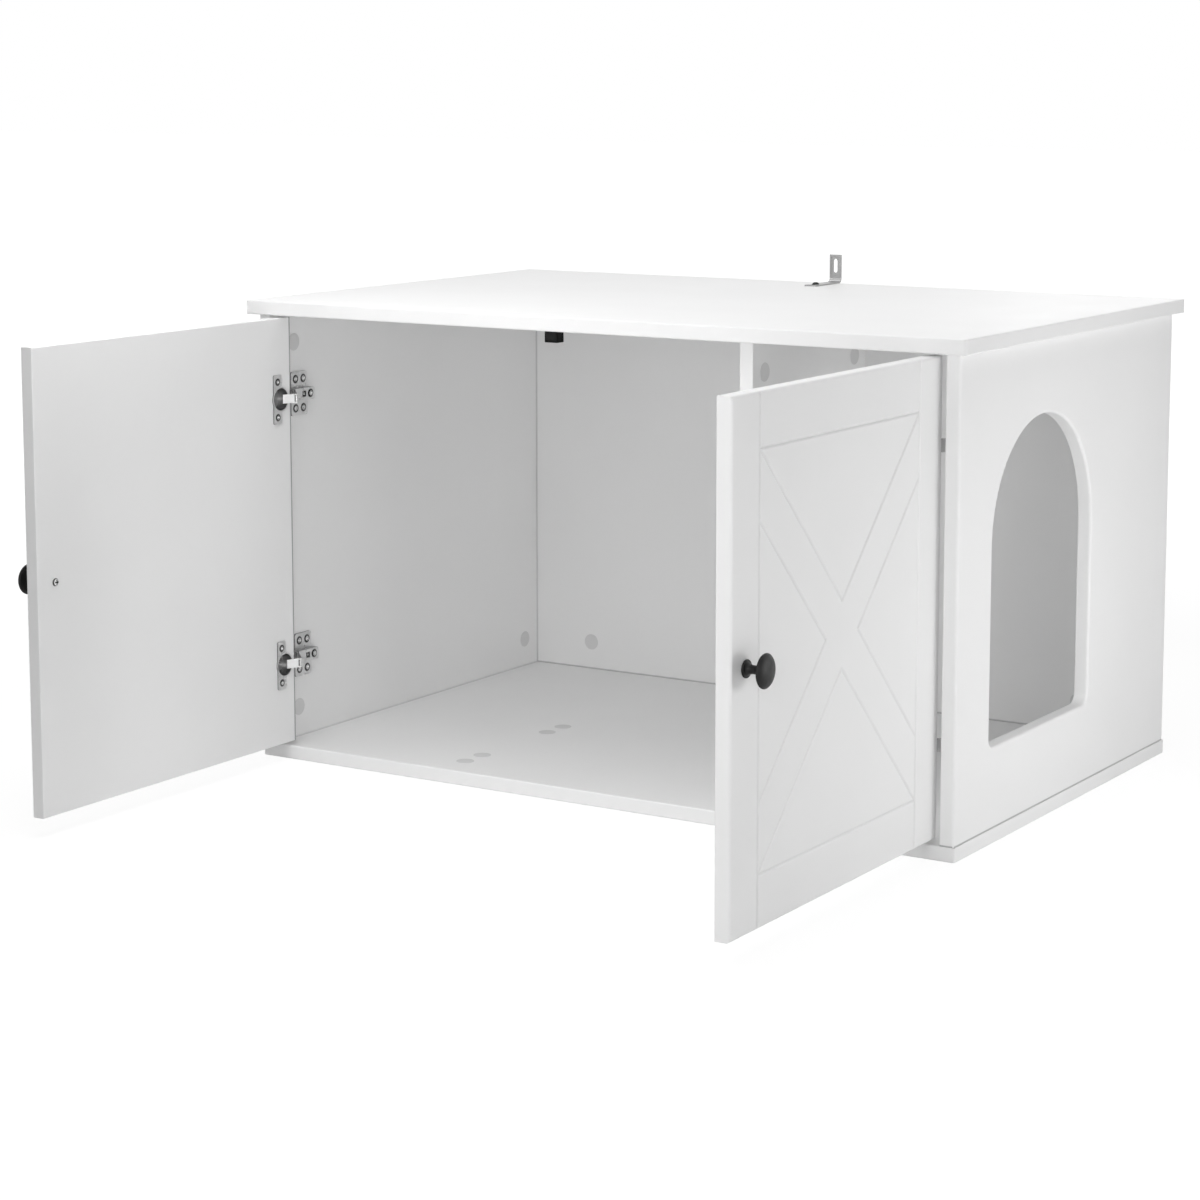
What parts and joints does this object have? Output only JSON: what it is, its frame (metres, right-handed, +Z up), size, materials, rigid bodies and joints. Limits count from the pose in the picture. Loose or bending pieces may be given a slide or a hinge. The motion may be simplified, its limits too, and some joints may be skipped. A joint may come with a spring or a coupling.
{
  "type": "cat litter cabinet",
  "caption": "White cat litter cabinet with an arched side entrance, an inner divider and two framed doors with crossed braces on concealed hinges.",
  "frame": {"origin": "centre of the base panel's underside, on the floor", "axes": "+Z up, +Y from the doors to the back panel, +X to the side with the arched entrance"},
  "size_m": [0.85, 0.929, 0.5326],
  "materials": {
    "board": "white lacquered fibreboard, satin",
    "door_board": "white lacquered fibreboard with routed grooves, satin",
    "back_board": "white lacquered fibreboard, satin",
    "cover_disc": "pale grey self-adhesive discs, matte",
    "dowel_wood": "plain beech",
    "zinc": "zinc-plated",
    "knob_black": "black painted, satin",
    "catch_plastic": "black moulded plastic",
    "magnet": "dark ferrite",
    "bracket_steel": "zinc-plated pressed steel",
    "black_screw": "black oxide",
    "hinge_nickel": "nickel-plated pressed steel",
    "hinge_bright": "bright nickel",
    "screw_nickel": "nickel-plated"
  },
  "bodies": {
    "cabinet": {"top_panel": "board", "base_panel": "board", "left_side_panel": "board", "right_side_panel": "board", "back_panel": "back_board", "divider_panel": "board", "left_side_cams": "zinc", "right_side_cams": "zinc", "divider_cams": "zinc", "back_cams": "zinc", "left_side_bolts": "zinc", "right_side_bolts": "zinc", "divider_bolts": "zinc", "back_bolts": "zinc", "left_side_dowels": "dowel_wood", "right_side_dowels": "dowel_wood", "divider_dowels": "dowel_wood", "back_dowels": "dowel_wood", "left_side_cover_discs": "cover_disc", "right_side_cover_discs": "cover_disc", "divider_cover_discs": "cover_disc", "back_cover_discs": "cover_disc", "base_cover_discs": "cover_disc", "top_cover_discs": "cover_disc", "left_upper_hinge_plate": "hinge_nickel", "left_lower_hinge_plate": "hinge_nickel", "right_upper_hinge_plate": "hinge_nickel", "right_lower_hinge_plate": "hinge_nickel", "left_upper_hinge_arm": "hinge_nickel", "left_lower_hinge_arm": "hinge_nickel", "right_upper_hinge_arm": "hinge_nickel", "right_lower_hinge_arm": "hinge_nickel", "left_hinge_pins": "hinge_nickel", "right_hinge_pins": "hinge_nickel", "left_plate_screws": "screw_nickel", "right_plate_screws": "screw_nickel", "left_adjusting_screws": "screw_nickel", "right_adjusting_screws": "screw_nickel", "catch_housing": "catch_plastic", "catch_magnet": "magnet", "catch_screw": "zinc", "wall_bracket": "bracket_steel", "bracket_screw": "black_screw"},
    "left_door": {"left_door_panel": "door_board", "left_upper_hinge_cup": "hinge_nickel", "left_lower_hinge_cup": "hinge_nickel", "left_cup_screws": "screw_nickel", "left_knob": "knob_black", "left_knob_screw": "screw_nickel"},
    "right_door": {"right_door_panel": "door_board", "right_upper_hinge_cup": "hinge_nickel", "right_lower_hinge_cup": "hinge_nickel", "right_cup_screws": "screw_nickel", "right_knob": "knob_black", "right_knob_screw": "screw_nickel"},
    "left_links": {"left_upper_hinge_link": "hinge_bright", "left_lower_hinge_link": "hinge_bright"},
    "right_links": {"right_upper_hinge_link": "hinge_bright", "right_lower_hinge_link": "hinge_bright"}
  },
  "joints": [
    {"name": "left_door_swing", "type": "hinge", "parent": "cabinet", "child": "left_door", "pos_m": [-0.3923, -0.2627, 0.25], "axis": [0, 0, 1], "range_deg": [-15, 90]},
    {"name": "left_link_swing", "type": "hinge", "parent": "cabinet", "child": "left_links", "pos_m": [-0.3713, -0.2574, 0.25], "axis": [0, 0, 1], "range_deg": [-81, 14]},
    {"name": "right_door_swing", "type": "hinge", "parent": "cabinet", "child": "right_door", "pos_m": [0.3923, -0.2627, 0.25], "axis": [0, 0, -1], "range_deg": [-15, 90]},
    {"name": "right_link_swing", "type": "hinge", "parent": "cabinet", "child": "right_links", "pos_m": [0.3713, -0.2574, 0.25], "axis": [0, 0, -1], "range_deg": [-81, 14]}
  ],
  "couplings": [
    {"joint": "left_link_swing", "follows": "left_door_swing", "ratio": -0.8889},
    {"joint": "right_link_swing", "follows": "right_door_swing", "ratio": -0.8889}
  ]
}
